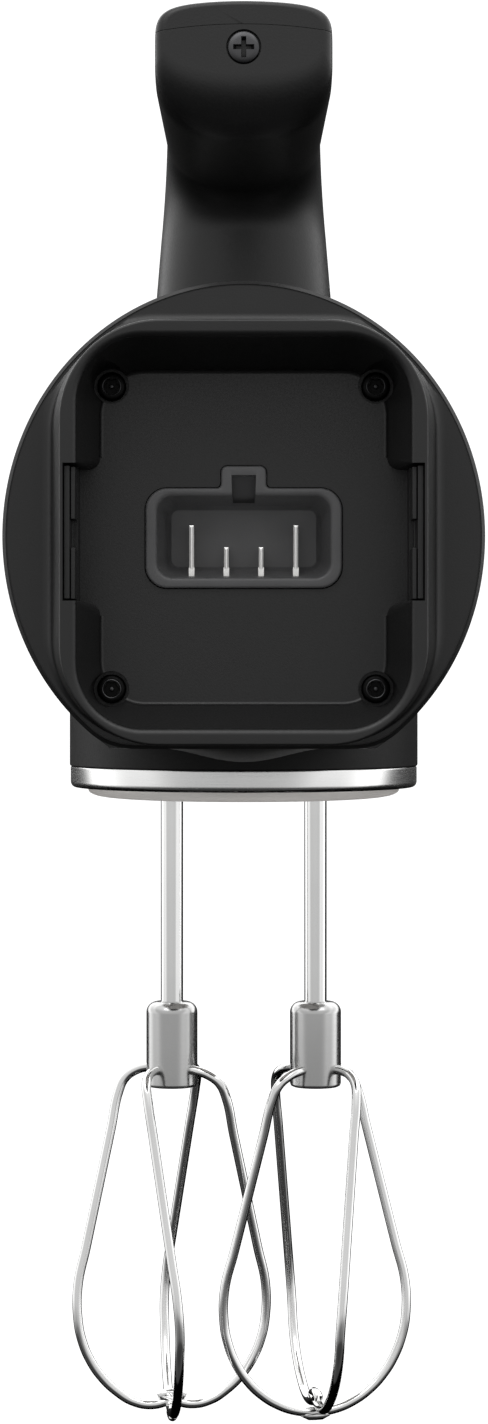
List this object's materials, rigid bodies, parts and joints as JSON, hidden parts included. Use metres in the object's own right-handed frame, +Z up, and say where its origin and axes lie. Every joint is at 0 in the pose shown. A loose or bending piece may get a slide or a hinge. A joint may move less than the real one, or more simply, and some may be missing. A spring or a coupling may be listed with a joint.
{
  "type": "cordless hand mixer",
  "caption": "Cordless hand mixer with an open-backed handle, a rear battery bay with its pack removed, and a pair of wire beaters that an eject button releases.",
  "frame": {"origin": "centre of the battery bay's rim, the heel that the mixer rests on, on the motor's axis", "axes": "+X to the right seen from behind, +Y forwards from the bay towards the nose, +Z up towards the handle"},
  "size_m": [0.0966, 0.155, 0.3035],
  "materials": {
    "black_plastic": "matte moulded",
    "grip_plastic": "fine matte texture",
    "grey_plastic": "satin moulded",
    "inner_plastic": "natural moulded",
    "gear_plastic": "natural moulded",
    "satin_silver": "satin",
    "warm_silver": "satin",
    "polished_steel": "polished",
    "satin_steel": "fine satin",
    "dark_screw": "dark plated",
    "zinc_screw": "zinc plated",
    "nickel_contact": "bright nickel",
    "bronze": "sintered",
    "copper": "enamelled wire",
    "magnet": "ferrite",
    "seal_rubber": "matte",
    "circuit_board": "solder mask",
    "lead_insulation": "satin"
  },
  "bodies": {
    "mixer_body": {"rear_cover": "black_plastic", "drum_shell": "black_plastic", "nose_cap": "black_plastic", "base_skirt": "black_plastic", "motor_end_cap": "black_plastic", "latch_strike_left": "black_plastic", "latch_strike_right": "black_plastic", "handle_shell": "grip_plastic", "handle_top_cover": "grip_plastic", "connector_housing": "grey_plastic", "gearbox_frame": "inner_plastic", "gearbox_lid": "inner_plastic", "base_band": "satin_silver", "base_plate": "warm_silver", "motor_can": "satin_steel", "eject_spring": "satin_steel", "handle_end_screw": "dark_screw", "bay_screws": "dark_screw", "base_screws": "dark_screw", "gearbox_screws": "zinc_screw", "motor_mount_screws": "zinc_screw", "power_blades": "nickel_contact", "signal_blades": "nickel_contact", "upper_spindle_bushes": "bronze", "lower_spindle_bushes": "bronze", "motor_bushes": "bronze", "motor_magnets": "magnet", "carbon_brushes": "magnet", "spindle_seals": "seal_rubber", "driver_board": "circuit_board", "control_board": "circuit_board", "power_leads": "lead_insulation", "control_harness": "lead_insulation"},
    "rotor": {"rotor_shaft": "satin_steel", "rotor_core": "satin_steel", "rotor_windings": "copper", "commutator": "copper", "cooling_fan": "black_plastic", "drive_worm": "satin_steel"},
    "left_spindle": {"left_spindle": "satin_steel", "left_drive_wheel": "gear_plastic", "left_spindle_clip": "satin_steel"},
    "right_spindle": {"right_spindle": "satin_steel", "right_drive_wheel": "gear_plastic", "right_spindle_clip": "satin_steel"},
    "left_beater": {"left_beater_stem": "polished_steel", "left_beater_ferrule": "satin_steel", "left_wire_loop_a": "polished_steel", "left_wire_loop_b": "polished_steel"},
    "right_beater": {"right_beater_stem": "polished_steel", "right_beater_ferrule": "satin_steel", "right_wire_loop_a": "polished_steel", "right_wire_loop_b": "polished_steel"},
    "ejector": {"eject_button": "grey_plastic", "ejector_rod": "inner_plastic", "ejector_yoke": "inner_plastic"},
    "power_key": {"power_button": "grey_plastic"},
    "speed_key": {"speed_rocker": "grey_plastic"}
  },
  "joints": [
    {"name": "motor_spin", "type": "hinge", "parent": "mixer_body", "child": "rotor", "pos_m": [0, 0.098, 0], "axis": [0, 1, 0], "continuous": true},
    {"name": "left_spindle_spin", "type": "hinge", "parent": "mixer_body", "child": "left_spindle", "pos_m": [-0.016, 0.098, 0], "axis": [0, 0, 1], "continuous": true},
    {"name": "right_spindle_spin", "type": "hinge", "parent": "mixer_body", "child": "right_spindle", "pos_m": [0.016, 0.098, 0], "axis": [0, 0, 1], "continuous": true},
    {"name": "eject_press", "type": "slide", "parent": "mixer_body", "child": "ejector", "axis": [0, 0, -1], "range_m": [0, 0.008], "stiffness_N_per_m": 500, "springref_m": -0.004, "deforming": ["eject_spring"]},
    {"name": "left_beater_drop", "type": "slide", "parent": "left_spindle", "child": "left_beater", "axis": [0, 0, -1], "range_m": [0, 0.044]},
    {"name": "right_beater_drop", "type": "slide", "parent": "right_spindle", "child": "right_beater", "axis": [0, 0, -1], "range_m": [0, 0.044]},
    {"name": "power_press", "type": "slide", "parent": "mixer_body", "child": "power_key", "axis": [0, 0, -1], "range_m": [0, 0.0012], "stiffness_N_per_m": 800, "springref_m": -0.0005},
    {"name": "speed_rock", "type": "hinge", "parent": "mixer_body", "child": "speed_key", "pos_m": [0, 0.068, 0.101], "axis": [1, 0, 0], "range_deg": [-4, 4], "stiffness_Nm_per_rad": 0.2}
  ],
  "couplings": [
    {"joint": "left_spindle_spin", "follows": "motor_spin", "ratio": -0.083333},
    {"joint": "right_spindle_spin", "follows": "motor_spin", "ratio": 0.083333},
    {"joint": "left_beater_drop", "follows": "eject_press", "ratio": 5.5},
    {"joint": "right_beater_drop", "follows": "eject_press", "ratio": 5.5}
  ]
}
